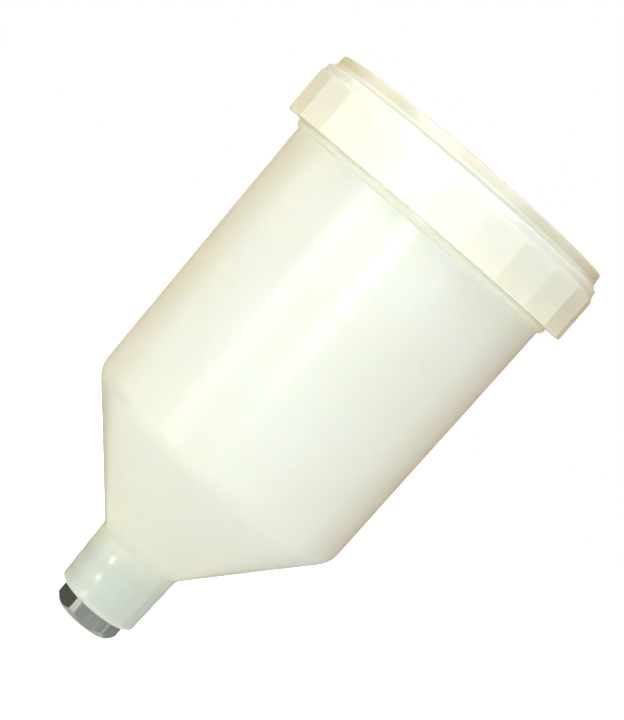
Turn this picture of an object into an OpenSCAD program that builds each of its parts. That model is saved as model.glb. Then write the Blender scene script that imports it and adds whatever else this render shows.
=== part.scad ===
// Gravity-feed paint cup with a screw lid, standing with its lid up.
// The origin is the centre of the metal connector's bottom face, and +Z runs up the cup's axis.

/* [Gun connector] */
// Width of the hexagon across its flats
hex_af = 19; // [18.6:0.1:20]
// Diameter that the hexagon's corners are turned down to
hex_turned_d = 20.9; // [20.2:0.1:21.8]
// Height of the hexagon below the plastic neck
collar_h = 5.8; // [4:0.1:8]
// Width of the chamfer turned at the hexagon's bottom end
hex_chamfer = 1.4; // [0.6:0.1:1.8]
// Angle of that chamfer from the end face
hex_chamfer_angle = 50; // [30:1:60]
// Angle from +X to the first corner of the hexagon
hex_turn = 8; // [0:1:59]
// Bore of the female thread at its crests, for M16 x 1.5
thread_bore_d = 14.4; // [14.2:0.05:14.6]
// Length of the female thread
thread_len = 11; // [9:0.5:13]
// Height of the relief groove above the thread, which holds the washer
relief_h = 2; // [1.6:0.1:2.6]
// Depth of the relief groove outside the thread's crests
relief_depth = 1; // [0.6:0.1:1.2]
// Diameter of the paint passage above the washer
passage_d = 12; // [10:0.5:13]
// Height of the metal above the relief groove
passage_h = 4.4; // [3:0.2:7]
// Diameter over the knurled bands inside the neck
knurl_d = 20.8; // [20.4:0.1:21.6]
// Depth of the knurling
knurl_depth = 0.4; // [0.2:0.1:0.6]
// Depth of the plain grooves beside the bands, below the knurling
knurl_groove = 0.4; // [0.2:0.1:0.8]
// Teeth around each knurled band
knurl_teeth = 36; // [24:1:48]

/* [Washer] */
// Thickness of the seat washer
washer_t = 1.7; // [1:0.1:2]
// Diameter of the hole in the seat washer
washer_hole_d = 11; // [9:0.5:12]
// Gap around the washer in its groove
washer_gap = 0.1; // [0.05:0.05:0.3]

/* [Neck and cone] */
// Wall of plastic outside the knurled bands at the bottom of the neck
neck_wall = 2.3; // [1.6:0.1:3]
// Height of the neck
neck_h = 20; // [16:0.5:26]
// How much the neck's radius grows from its bottom to its top
neck_flare = 0.8; // [0.2:0.1:1.4]
// Rounding of the neck's bottom edge
neck_edge_r = 2.2; // [0.5:0.1:3]
// Rounding between the neck and the cone
neck_top_r = 1; // [0.4:0.1:4]
// Bore of the neck above the metal, where the strainer stands
neck_bore_d = 19.5; // [17:0.1:20]
// Angle of the cone from the axis
cone_angle = 41.3; // [36:0.1:50]

/* [Barrel] */
// Outside diameter of the barrel where the cone meets it
barrel_d_low = 86.2; // [78:0.1:92]
// How much the barrel's diameter grows up to the ring
barrel_draft = 2.2; // [0:0.1:4]
// Height of the barrel from the cone to the ring
barrel_h = 87.2; // [70:0.1:110]
// Wall of the cup
cup_wall = 2.4; // [1.8:0.1:3]
// Rounding of the shoulder between the cone and the barrel
shoulder_r = 8; // [2:0.5:12]

/* [Mouth] */
// How far the ring and the mouth stand out from the barrel
ring_step = 1.25; // [0.8:0.05:2]
// Height of the mouth from the ring's bottom edge
mouth_h = 17.3; // [16.5:0.1:20]
// Height of the ring that shows below the lid
ring_show = 2.2; // [1.4:0.1:3]
// Height of the step at the ring's bottom edge
ring_edge_h = 0.7; // [0.4:0.1:1]
// Depth of the step at the ring's bottom edge
ring_edge_in = 0.4; // [0.2:0.05:0.6]
// How much thinner the wall is at the mouth than the ring's step makes it
mouth_thin = 0.6; // [0:0.1:1]
// Height over which the inside narrows below the ring
mouth_ease_h = 4; // [2:0.5:8]
// Rounding of the mouth's top edges
mouth_edge_r = 0.5; // [0.2:0.1:0.8]

/* [Lid thread] */
// Rise of the lid for one turn
pitch = 5; // [4.6:0.1:6]
// Height of the cup's thread above the mouth's wall
ridge_h = 1.6; // [1.2:0.1:2]
// Width of a ridge at its root
ridge_root_w = 2.4; // [2:0.1:2.6]
// Width of a ridge at its crest
ridge_crest_w = 1; // [0.6:0.1:1.4]
// Height of plain mouth above the cup's thread
thread_clear_h = 3.3; // [3:0.1:4.5]
// Turns of the cup's thread
cup_turns = 1.4; // [1:0.1:1.5]
// Turns of the lid's thread
lid_turns = 1.25; // [1:0.05:1.3]
// Gap between a thread's crests and the other piece's wall
crest_gap = 0.4; // [0.3:0.05:0.6]
// Gap along the axis between the flanks that bear when the lid is tight
flank_gap = 0.25; // [0.15:0.05:0.4]

/* [Lid] */
// Number of grip flats around the lid
lid_flats = 24; // [16:1:36]
// Angle from +X to the first edge between two grip flats
flats_turn = 13; // [0:1:44]
// Wall of the lid's skirt at an edge between two flats
skirt_wall = 2.8; // [2.4:0.1:4]
// Height of the rounded shoulder above the flats
lid_shoulder_h = 3.4; // [2.4:0.1:4.4]
// How far the shoulder leans in from the flats' edges
lid_shoulder_in = 0.9; // [0.6:0.1:1.4]
// Rounding between the shoulder's slope and its wall
lid_shoulder_round = 2; // [0.5:0.1:3]
// Height from the shoulder's edge up to the underside of the top plate
lid_shoulder_drop = 0.4; // [0.2:0.1:1]
// How far the shoulder's wall and the tier lean in
lid_lean = 0.2; // [0:0.05:0.4]
// Step in from the shoulder to the top tier
tier_step = 1.9; // [1.2:0.1:3]
// Thickness of the lid's top plate
plate_t = 2.5; // [2:0.1:3.4]
// Height of the rim around the top plate
rim_h = 1.6; // [0.8:0.1:2.4]
// Width of the rim around the top plate
rim_w = 3.6; // [2.4:0.1:5]

/* [Lid seal] */
// Thickness of the sealing ring
seal_t = 1.75; // [1.2:0.05:2.5]
// Width of the sealing ring
seal_w = 5; // [3.5:0.1:6]
// Gap between the sealing ring and the pieces above, below and around it
seal_gap = 0.05; // [0.02:0.01:0.1]
// Gap between the sealing ring and the skirt
seal_side_gap = 0.3; // [0.1:0.05:0.5]
// Depth of the snap bead's middle below the mouth
bead_drop = 0.9; // [0.8:0.1:1.4]
// How far the lid's snap bead stands in under the sealing ring
bead_h = 0.6; // [0.3:0.05:0.7]

/* [Vent and drip check] */
// Diameter of the vent hole
vent_d = 2.5; // [1.5:0.1:3.5]
// Inside diameter of the drip chamber
chamber_d = 24; // [20:0.5:30]
// Wall of the drip chamber
chamber_wall = 2; // [1.4:0.1:2.6]
// Height of the valve seat below the top plate
seat_h = 1.5; // [1:0.1:2.5]
// Width of the valve seat's ring
seat_w = 1.4; // [0.8:0.1:2]
// Thickness of the valve disc
valve_t = 0.8; // [0.6:0.1:1.4]
// Travel of the valve disc between the baffle and its seat
valve_travel = 2.5; // [1.5:0.1:3.5]
// Gap around the valve disc in the chamber
valve_gap = 1.4; // [0.8:0.1:2]
// Thickness of the baffle's flange
baffle_flange_t = 1.2; // [0.8:0.1:1.8]
// Depth of the baffle's plug inside the chamber
baffle_plug_t = 1.4; // [1:0.1:2]
// Height of the ribs that carry the valve disc
baffle_rib_h = 0.6; // [0.4:0.1:1]
// Width of those ribs
baffle_rib_w = 1; // [0.6:0.1:1.6]
// Gap between those ribs and the chamber's wall
baffle_rib_gap = 0.5; // [0.3:0.1:1]
// Diameter of each drain hole in the baffle
drain_d = 2.2; // [1.4:0.1:2.8]
// Number of drain holes in the baffle
drain_count = 6; // [3:1:9]

/* [Vent cap] */
// Outside diameter of the vent cap
cap_d = 10.2; // [9.8:0.1:13]
// Height of the vent cap above the lid's rim
cap_proud = 2.7; // [2.4:0.1:5]
// Thickness of the vent cap's top
cap_top_t = 1.4; // [1.2:0.1:1.8]
// Diameter of the spigot that the vent cap turns on
spigot_d = 6.8; // [6.2:0.1:7]
// Diameter of the side port in the spigot and in the cap
port_d = 1.2; // [0.8:0.1:1.2]
// Running gap between the spigot and the cap
cap_gap = 0.08; // [0.05:0.01:0.1]
// Height of the snap bead on the spigot
snap_h = 0.25; // [0.15:0.05:0.35]
// Number of grip grooves around the cap
cap_grips = 12; // [8:1:16]
// Radius of each grip groove
grip_r = 0.6; // [0.4:0.05:0.8]
// How far the middle of each grip groove lies outside the cap
grip_out = 0.25; // [0.15:0.05:0.4]
// Length of the coin slot
cap_slot_len = 6.5; // [4:0.1:8]
// Width of the coin slot
cap_slot_w = 1.4; // [0.8:0.1:2]
// Depth of the coin slot
cap_slot_depth = 0.8; // [0.4:0.1:1]

/* [Strainer] */
// Length of the strainer from its foot to the top of its cap
strainer_h = 50; // [40:1:60]
// Height of the strainer's foot
foot_h = 7.4; // [5:0.2:9]
// Gap between the strainer's foot and the neck's bore
foot_gap = 0.1; // [0.05:0.01:0.2]
// Thickness of the mesh sleeve
mesh_t = 0.4; // [0.3:0.05:0.6]
// Depth of the ribs outside the mesh
rib_t = 1.1; // [0.8:0.1:1.4]
// Width of each rib
rib_w = 2.4; // [1.8:0.1:3.2]
// Step in from the foot to the ribs
rib_inset = 0.3; // [0.1:0.05:0.5]
// Depth of the mesh sleeve's bottom end inside the foot
mesh_sink = 1.6; // [1:0.1:3]
// Width of the ledge that the mesh sleeve stands on
foot_ledge = 0.7; // [0.6:0.05:1]
// Number of ribs
rib_count = 4; // [3:1:6]
// Height of each hoop around the ribs
hoop_h = 1.4; // [1:0.1:2]
// Number of hoops between the foot and the cap
hoop_count = 2; // [1:1:3]
// Thickness of the strainer's cap
strainer_cap_t = 2.4; // [1.8:0.1:3.4]
// Height of the grip tab on the strainer's cap
tab_h = 8; // [5:0.5:12]
// Thickness of the grip tab
tab_t = 1.8; // [1.2:0.1:2.6]
// Width of the grip tab
tab_w = 12.6; // [9:0.1:15]
// Diameter of the hole in the grip tab
tab_hole_d = 4; // [2:0.1:5]

/* [Hidden] */

$fn = 96;
arc_steps = 8;
// Length by which a cutter passes a face, or a ridge sinks into its wall
over = 0.4;
// Gap between two flat faces that meet on pieces that move apart
touch_gap = 0.02;
// Rounding of a small moulded edge
edge_r = 0.2;

// Connector
relief_z = thread_len;
passage_z = relief_z + relief_h;
insert_top_z = passage_z + passage_h;
knurl_core_r = knurl_d / 2 - knurl_depth - knurl_groove;
knurl_band_h = (insert_top_z - collar_h) / 3;
knurl_space = knurl_band_h / 4;

// Cup
neck_r0 = knurl_d / 2 + neck_wall;
neck_r1 = neck_r0 + neck_flare;
neck_z1 = collar_h + neck_h;
barrel_r0 = barrel_d_low / 2;
barrel_r1 = barrel_r0 + barrel_draft / 2;
shoulder_z = neck_z1 + (barrel_r0 - neck_r1) / tan(cone_angle);
ring_z = shoulder_z + barrel_h;
mouth_r = barrel_r1 + ring_step;
mouth_z = ring_z + mouth_h;
mouth_bore_r = barrel_r1 - cup_wall + mouth_thin;
neck_bore_r = neck_bore_d / 2;

// Height at which the inside of the cone has radius r
function cone_inside_z(r) =
    neck_z1 + (r - neck_r1 + cup_wall / cos(cone_angle)) / tan(cone_angle);

// Lid
skirt_z = ring_z + ring_show;
lid_bore_r = mouth_r + ridge_h + crest_gap;
lid_r = lid_bore_r + skirt_wall;
lid_shoulder_r = lid_r - lid_shoulder_in;
tier_r = lid_shoulder_r - tier_step;
plate_z = mouth_z + seal_t + 2 * seal_gap;
plate_top_z = plate_z + plate_t;
rim_z = plate_top_z + rim_h;
lid_shoulder_z = plate_z - lid_shoulder_drop;
flats_top_z = lid_shoulder_z - lid_shoulder_h;

// Threads: the lid's ridge bears on the underside of the cup's ridge
cup_ridge_top_z = mouth_z - thread_clear_h;
cup_ridge_z = cup_ridge_top_z - cup_turns * pitch;
lid_crest_r = mouth_r + crest_gap;
flank_slope = (ridge_root_w - ridge_crest_w) / (2 * ridge_h);
// Offset along the axis at which the two flanks would touch
flank_offset = ridge_root_w - flank_slope * (ridge_h + crest_gap);
lid_ridge_z = cup_ridge_z - flank_offset - flank_gap;
// The lid's ridge starts this many turns before the cup's
lid_ridge_lead = 0.15;
ridge_steps = 60;
ridge_taper_deg = 30;

// Sealing ring
seal_r1 = lid_bore_r - seal_side_gap;
seal_r0 = seal_r1 - seal_w;
seal_z = mouth_z + seal_gap;
bead_z = mouth_z - bead_drop;

// Drip check
chamber_r = chamber_d / 2;
chamber_out_r = chamber_r + chamber_wall;
seat_z = plate_z - seat_h;
seat_r = vent_d / 2 + seat_w;
valve_z = seat_z - valve_travel - valve_t;
valve_r = chamber_r - valve_gap;
rib_top_z = valve_z - touch_gap;
plug_top_z = rib_top_z - baffle_rib_h;
chamber_z = plug_top_z - baffle_plug_t;
baffle_z = chamber_z - baffle_flange_t;
drain_ring_r = (chamber_r + seat_r) / 2;

// Vent cap
cap_z = plate_top_z + touch_gap;
cap_top_z = rim_z + cap_proud;
spigot_r = spigot_d / 2;
spigot_top_z = cap_top_z - cap_top_t - 5 * touch_gap;
port_z = plate_top_z + (spigot_top_z - plate_top_z) * 0.34;
snap_z = plate_top_z + (spigot_top_z - plate_top_z) * 0.76;
// Half the height of the snap bead, and of the groove that takes it
snap_half = 0.5;
snap_groove_half = 0.6;

// Strainer
strainer_z = insert_top_z + touch_gap;
strainer_top_z = strainer_z + strainer_h;
foot_r = neck_bore_r - foot_gap;
rib_out_r = foot_r - rib_inset;
mesh_out_r = rib_out_r - rib_t;
mesh_in_r = mesh_out_r - mesh_t;
foot_top_z = strainer_z + foot_h;
mesh_z = foot_top_z - mesh_sink;
strainer_cap_z = strainer_top_z - strainer_cap_t;
mesh_top_z = strainer_cap_z;
// Height between the foot and the cap, which the hoops divide
bay_h = strainer_cap_z - foot_top_z;
foot_bore_r = mesh_out_r - foot_ledge;

function unit(v) = v / norm(v);

// Points of the arc that rounds corner b of the path a, b, c
function corner_arc(a, b, c, r) =
    let (u = unit(a - b), w = unit(c - b), half = acos(u * w) / 2,
         reach = min(r / tan(half), 0.48 * min(norm(a - b), norm(c - b))),
         rr = reach * tan(half), centre = b + unit(u + w) * rr / sin(half),
         p = b + u * reach - centre, q = b + w * reach - centre,
         start = atan2(p.y, p.x), sweep = (atan2(q.y, q.x) - start + 540) % 360 - 180)
    [for (i = [0 : arc_steps]) centre + rr * [cos(start + sweep * i / arc_steps),
                                              sin(start + sweep * i / arc_steps)]];

// Closed outline through [x, y, radius] corners, each rounded by its own radius
function rounded(corners) =
    let (n = len(corners))
    [for (i = [0 : n - 1])
        let (a = corners[(i + n - 1) % n], b = corners[i], c = corners[(i + 1) % n])
        each b.z <= 0 ? [[b.x, b.y]]
            : corner_arc([a.x, a.y], [b.x, b.y], [c.x, c.y], b.z)];

module turned(corners) {
    rotate_extrude() polygon(rounded(corners));
}

module ring(r_out, r_in, z, h) {
    translate([0, 0, z]) difference() {
        cylinder(r = r_out, h = h);
        translate([0, 0, -over]) cylinder(r = r_in, h = h + 2 * over);
    }
}

// Helical ridge of trapezoid section, from root radius r0 to crest radius r1, which fades at its ends
module helix_ridge(r0, r1, z, start, turns) {
    side = r1 > r0 ? 1 : -1;
    n = ceil(turns * ridge_steps);
    root_w = ridge_root_w + 2 * over * flank_slope;
    function fade(a) = min(1, 0.06 + min(a, turns * 360 - a) / ridge_taper_deg);
    points = [for (i = [0 : n])
        let (a = turns * 360 * i / n, rc = r0 + (r1 - r0) * fade(a), zc = z + pitch * a / 360)
        each [for (k = [[r0 - side * over, -root_w / 2], [rc, -ridge_crest_w / 2],
                        [rc, ridge_crest_w / 2], [r0 - side * over, root_w / 2]])
            [k.x * cos(start + a), k.x * sin(start + a), zc + k.y]]];
    quads = [for (i = [0 : n - 1]) for (k = [0 : 3])
        let (p = 4 * i + k, q = 4 * i + (k + 1) % 4)
        each [[p, q, q + 4], [p, q + 4, p + 4]]];
    ends = [[0, 3, 2], [0, 2, 1], [4 * n, 4 * n + 1, 4 * n + 2], [4 * n, 4 * n + 2, 4 * n + 3]];
    faces = concat(quads, ends);
    polyhedron(points, side > 0 ? faces : [for (f = faces) [f.z, f.y, f.x]], convexity = 6);
}

module knurl_band(z) {
    outline = [for (i = [0 : 2 * knurl_teeth - 1])
        (knurl_d / 2 - (i % 2) * knurl_depth) * [cos(180 * i / knurl_teeth), sin(180 * i / knurl_teeth)]];
    translate([0, 0, z]) linear_extrude(knurl_band_h) polygon(outline);
}

// Outside of the connector above the hexagon, which the neck is moulded around
module insert_shank() {
    translate([0, 0, collar_h - over]) cylinder(r = knurl_core_r, h = insert_top_z - collar_h + over);
    knurl_band(collar_h + knurl_space);
    knurl_band(insert_top_z - knurl_space - knurl_band_h);
}

module cup_body() {
    color("#f0f1e2") {
        difference() {
            turned([[0, collar_h, 0], [neck_r0, collar_h, neck_edge_r], [neck_r1, neck_z1, neck_top_r],
                    [barrel_r0, shoulder_z, shoulder_r], [barrel_r1, ring_z, 0],
                    [mouth_r - ring_edge_in, ring_z, edge_r],
                    [mouth_r - ring_edge_in, ring_z + ring_edge_h, 0],
                    [mouth_r, ring_z + ring_edge_h, edge_r], [mouth_r, mouth_z, mouth_edge_r],
                    [mouth_bore_r, mouth_z, mouth_edge_r], [barrel_r1 - cup_wall, ring_z - mouth_ease_h, 0],
                    [barrel_r0 - cup_wall, cone_inside_z(barrel_r0 - cup_wall), shoulder_r - cup_wall],
                    [neck_bore_r, cone_inside_z(neck_bore_r), neck_top_r], [neck_bore_r, insert_top_z, 0],
                    [0, insert_top_z, 0]]);
            insert_shank();
        }
        helix_ridge(mouth_r, mouth_r + ridge_h, cup_ridge_z, 0, cup_turns);
    }
}

module hex_insert() {
    color("#9a9a96") difference() {
        union() {
            intersection() {
                rotate([0, 0, hex_turn]) cylinder(d = hex_af / cos(30), h = collar_h, $fn = 6);
                turned([[0, 0, 0], [hex_turned_d / 2 - hex_chamfer, 0, 0],
                        [hex_turned_d / 2, hex_chamfer * tan(hex_chamfer_angle), 0],
                        [hex_turned_d / 2, collar_h, 0], [0, collar_h, 0]]);
            }
            insert_shank();
        }
        translate([0, 0, -over]) cylinder(d = thread_bore_d, h = relief_z + 2 * over);
        translate([0, 0, relief_z]) cylinder(r = thread_bore_d / 2 + relief_depth, h = relief_h);
        translate([0, 0, relief_z]) cylinder(d = passage_d, h = insert_top_z - relief_z + over);
    }
}

module seat_washer() {
    color("#e8e4d8") ring(thread_bore_d / 2 + relief_depth - washer_gap, washer_hole_d / 2,
                          passage_z - washer_t, washer_t);
}

module strainer_frame() {
    color("#e9e9e4") {
        difference() {
            union() {
                translate([0, 0, strainer_z]) cylinder(r = foot_r, h = foot_h);
                intersection() {
                    translate([0, 0, strainer_z]) cylinder(r = rib_out_r, h = strainer_h);
                    for (i = [0 : rib_count - 1]) {
                        rotate([0, 0, 360 * i / rib_count]) translate([0, -rib_w / 2, strainer_z])
                            cube([rib_out_r + over, rib_w, strainer_h]);
                    }
                }
                for (i = [1 : hoop_count]) {
                    translate([0, 0, foot_top_z + bay_h * i / (hoop_count + 1) - hoop_h / 2])
                        cylinder(r = rib_out_r, h = hoop_h);
                }
                translate([0, 0, strainer_cap_z]) cylinder(r = rib_out_r, h = strainer_cap_t);
            }
            translate([0, 0, strainer_z - over]) cylinder(r = foot_bore_r, h = foot_h + over);
            translate([0, 0, mesh_z]) cylinder(r = mesh_out_r, h = strainer_cap_z - mesh_z);
        }
        difference() {
            translate([-tab_w / 2, -tab_t / 2, strainer_top_z - over]) cube([tab_w, tab_t, tab_h + over]);
            translate([0, 0, strainer_top_z + tab_h / 2]) rotate([90, 0, 0])
                cylinder(d = tab_hole_d, h = tab_t + 2 * over, center = true);
        }
    }
}

module strainer_mesh() {
    color("#f4f4ef") ring(mesh_out_r, mesh_in_r, mesh_z, mesh_top_z - mesh_z);
}

module lid() {
    color("#f1efdc") {
        difference() {
            union() {
                intersection() {
                    rotate([0, 0, flats_turn]) translate([0, 0, skirt_z])
                        linear_extrude(rim_z - skirt_z)
                            polygon([for (i = [0 : lid_flats - 1])
                                lid_r * [cos(360 * i / lid_flats), sin(360 * i / lid_flats)]]);
                    turned([[0, skirt_z, 0], [lid_r + over, skirt_z, 0],
                            [lid_r + over, flats_top_z - over, 0],
                            [lid_shoulder_r, flats_top_z + lid_shoulder_h / 2, lid_shoulder_round],
                            [lid_shoulder_r - lid_lean, lid_shoulder_z, 2 * edge_r],
                            [tier_r, lid_shoulder_z + tier_step / 2, edge_r],
                            [tier_r - lid_lean, rim_z, 2 * edge_r], [tier_r - rim_w, rim_z, 2 * edge_r],
                            [tier_r - rim_w - lid_lean, plate_top_z, 3 * edge_r], [0, plate_top_z, 0]]);
                }
                translate([0, 0, plate_top_z - over])
                    cylinder(r = spigot_r, h = spigot_top_z - plate_top_z + over);
                turned([[0, snap_z - snap_half, 0], [spigot_r, snap_z - snap_half, 0],
                        [spigot_r + snap_h, snap_z, 0], [spigot_r, snap_z + snap_half, 0],
                        [0, snap_z + snap_half, 0]]);
            }
            turned([[0, skirt_z - over, 0], [lid_bore_r, skirt_z - over, 0],
                    [lid_bore_r, bead_z - bead_h, 0],
                    [lid_bore_r - bead_h, bead_z, edge_r], [lid_bore_r, bead_z + bead_h, 0],
                    [lid_bore_r, plate_z, edge_r], [0, plate_z, 0]]);
            translate([0, 0, seat_z - over]) cylinder(d = vent_d, h = port_z + port_d / 2 - seat_z + over);
            translate([0, 0, port_z]) rotate([0, 90, 0]) cylinder(d = port_d, h = spigot_r + over);
        }
        ring(chamber_out_r, chamber_r, chamber_z, plate_z - chamber_z + over);
        ring(seat_r, vent_d / 2, seat_z, seat_h + over);
        helix_ridge(lid_bore_r, lid_crest_r, lid_ridge_z - lid_ridge_lead * pitch,
                    -360 * lid_ridge_lead, lid_turns);
    }
}

module lid_gasket() {
    color("#c9c9bd") turned([[seal_r0, seal_z, edge_r], [seal_r1, seal_z, edge_r],
                             [seal_r1, seal_z + seal_t, edge_r], [seal_r0, seal_z + seal_t, edge_r]]);
}

module drip_baffle() {
    color("#e4e2d2") difference() {
        union() {
            translate([0, 0, baffle_z]) cylinder(r = chamber_out_r, h = baffle_flange_t);
            translate([0, 0, baffle_z]) cylinder(r = chamber_r, h = plug_top_z - baffle_z);
            for (i = [0 : 2]) {
                rotate([0, 0, 120 * i]) translate([seat_r, -baffle_rib_w / 2, plug_top_z - over])
                    cube([chamber_r - seat_r - baffle_rib_gap, baffle_rib_w, baffle_rib_h + over]);
            }
        }
        for (i = [0 : drain_count - 1]) {
            rotate([0, 0, 360 * (i + 0.5) / drain_count]) translate([drain_ring_r, 0, baffle_z - over])
                cylinder(d = drain_d, h = plug_top_z - baffle_z + 2 * over, $fn = 32);
        }
    }
}

module valve_disc() {
    color("#3c3c3a") turned([[0, valve_z, 0], [valve_r, valve_z, edge_r],
                             [valve_r, valve_z + valve_t, edge_r], [0, valve_z + valve_t, 0]]);
}

module vent_cap() {
    bore_r = spigot_r + cap_gap;
    color("#eeeddd") difference() {
        turned([[0, cap_z, 0], [cap_d / 2, cap_z, edge_r], [cap_d / 2, cap_top_z, 3 * edge_r],
                [0, cap_top_z, 0]]);
        turned([[0, cap_z - over, 0], [bore_r, cap_z - over, 0], [bore_r, snap_z - snap_groove_half, 0],
                [bore_r + snap_h, snap_z - snap_groove_half + snap_half, 0],
                [bore_r + snap_h, snap_z + snap_groove_half - snap_half, 0],
                [bore_r, snap_z + snap_groove_half, 0], [bore_r, cap_top_z - cap_top_t, 0],
                [0, cap_top_z - cap_top_t, 0]]);
        translate([0, 0, port_z]) rotate([0, 90, 0]) cylinder(d = port_d, h = cap_d);
        translate([-cap_slot_len / 2, -cap_slot_w / 2, cap_top_z - cap_slot_depth])
            cube([cap_slot_len, cap_slot_w, cap_slot_depth + over]);
        for (i = [0 : cap_grips - 1]) {
            rotate([0, 0, 360 * (i + 0.5) / cap_grips]) translate([cap_d / 2 + grip_out, 0, cap_z - over])
                cylinder(r = grip_r, h = cap_top_z - cap_z + 2 * over, $fn = 24);
        }
    }
}

cup_body();
hex_insert();
seat_washer();
strainer_frame();
strainer_mesh();
lid();
lid_gasket();
drip_baffle();
valve_disc();
vent_cap();
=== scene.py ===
# %% [markdown]
# # A paint cup with a screw lid
#
# This notebook dresses a gravity-feed paint cup, the milky plastic beaker that screws on top of a
# spray gun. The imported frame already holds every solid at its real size. Here each one gets a
# smooth, finely made mesh and a finish that looks like the real plastic, metal, gauze or rubber.
#
# Lengths are written in millimetres, the unit of a workshop drawing, and one constant turns them
# into the metres that Blender works in.

# %% Load the frame
import math

import bmesh
import bpy
from mathutils import Matrix, Vector


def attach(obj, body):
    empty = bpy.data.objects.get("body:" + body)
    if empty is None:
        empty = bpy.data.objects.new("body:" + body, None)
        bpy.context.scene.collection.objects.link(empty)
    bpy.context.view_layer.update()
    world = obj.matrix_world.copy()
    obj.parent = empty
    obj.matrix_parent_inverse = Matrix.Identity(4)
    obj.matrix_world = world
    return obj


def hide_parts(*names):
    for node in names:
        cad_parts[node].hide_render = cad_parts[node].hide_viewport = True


MM = 0.001
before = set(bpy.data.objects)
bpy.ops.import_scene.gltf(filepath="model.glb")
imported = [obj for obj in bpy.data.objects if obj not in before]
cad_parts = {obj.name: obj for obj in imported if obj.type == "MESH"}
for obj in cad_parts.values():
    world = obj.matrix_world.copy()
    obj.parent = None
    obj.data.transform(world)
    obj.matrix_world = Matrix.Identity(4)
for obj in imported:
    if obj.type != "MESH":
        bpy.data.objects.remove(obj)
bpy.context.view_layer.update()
scene = bpy.context.scene
scene.view_settings.view_transform = "Standard"
print("nodes in the frame:", ", ".join(sorted(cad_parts)))

# %% [markdown]
# ## The camera
#
# The cup was photographed lying on the picture's diagonal, with its lid at the upper right. A cup
# modelled upright gives the same picture if the camera rolls instead, so the object stays in its own
# upright frame. The roll, the height and the distance come from the ellipses of the neck and the
# lid: the neck is seen from above and the lid from just below, so the camera is level with a point
# between them.

# %% Set the camera
lens_mm = 98.4
camera_out = 557.0
camera_side = 1.4
camera_height = 140.5
pitch_deg = 4.24
roll_deg = 40.8

camera_data = bpy.data.cameras.new("camera")
camera_data.lens = lens_mm
camera_data.sensor_width = 36.0
camera = bpy.data.objects.new("camera", camera_data)
scene.collection.objects.link(camera)
look = Matrix.Rotation(math.radians(90 - pitch_deg), 4, "X") @ Matrix.Rotation(math.radians(roll_deg), 4, "Z")
camera.matrix_world = Matrix.Translation(Vector((camera_side, -camera_out, camera_height)) * MM) @ look
scene.camera = camera
print(f"camera {camera_out:.0f} mm away, {camera_height:.1f} mm high, rolled {roll_deg} degrees")

# %% [markdown]
# ## Colours and nodes
#
# A paint chart gives colours as sRGB hex values, but a shader adds up light, so it wants linear
# numbers. One function does that turn. A second one adds a node, sets it and links it in a single
# call, which keeps each material short enough to read as a recipe. Where a node is given as an
# input's value, its first output is linked.

# %% Colour and node helpers
def colour(hex_value):
    """The linear colour of an sRGB hex value such as #f0f3e3."""
    parts = [int(hex_value[i : i + 2], 16) / 255 for i in (1, 3, 5)]
    linear = [p / 12.92 if p <= 0.04045 else ((p + 0.055) / 1.055) ** 2.4 for p in parts]
    return (*linear, 1.0)


def set_inputs(tree, node, inputs):
    """Sets or links a node's inputs, from a dictionary or from a list in the node's own order."""
    for key, value in inputs.items() if isinstance(inputs, dict) else enumerate(inputs):
        if isinstance(value, bpy.types.Node):
            value = value.outputs[0]
        if isinstance(value, bpy.types.NodeSocket):
            tree.links.new(value, node.inputs[key])
        else:
            node.inputs[key].default_value = value


def add(tree, kind, inputs=(), **settings):
    """A new node with its settings made and its inputs filled."""
    made = tree.nodes.new(kind)
    for key, value in settings.items():
        setattr(made, key, value)
    set_inputs(tree, made, inputs)
    return made


def start_material(name, inputs):
    """A material, its tree, its shader with these inputs, and Object coordinates."""
    made = bpy.data.materials.new(name)
    made.use_nodes = True
    tree = made.node_tree
    shader = tree.nodes["Principled BSDF"]
    set_inputs(tree, shader, inputs)
    return made, tree, shader, add(tree, "ShaderNodeTexCoord").outputs["Object"]


def from_axis(tree, coords):
    """The distance of a point from the cup's axis, in metres."""
    flat = add(tree, "ShaderNodeVectorMath", (coords, (1, 1, 0)), operation="MULTIPLY")
    return add(tree, "ShaderNodeVectorMath", (flat,), operation="LENGTH").outputs["Value"]


print("milk white", [round(c, 3) for c in colour("#f0f3e3")])

# %% [markdown]
# ## Milky plastic
#
# The cup is injection-moulded nylon and the lid is polyethylene, both unpigmented. Such plastic is
# full of tiny crystals, so light sinks in a few millimetres, scatters and comes out again. Subsurface
# scattering does just that, with a longer reach for red, which warms the thin, turned-away edges. The
# skin is a moulded satin: its highlights are soft streaks and not mirror images. A faint orange peel
# and a slow mottling keep it from looking computed.
#
# Both mouldings have zones that differ, and each goes over into the rest by its height, outside a
# radius. The cone's colour is a little darker and yellower. The neck is glossier, as it was moulded
# against polished steel, and its colour is painted cooler and greyer, a painted shade for the metal
# shank moulded into it that shows through. The mouth is thin and lets light through from inside, and
# the ring below the lid is painted whiter, a painted light that also offsets the shade under the lid's
# skirt. The crease above the lid's shoulder is painted lighter, a painted light against its shade. The
# lid's top rim is a single wall with nothing behind it, and it is painted a little dimmer than the
# skirt, which has the cup's mouth inside, as painted shade.

# %% Recipe for milky plastic
mottle_mm, peel_mm = 34, 1.4


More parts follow.
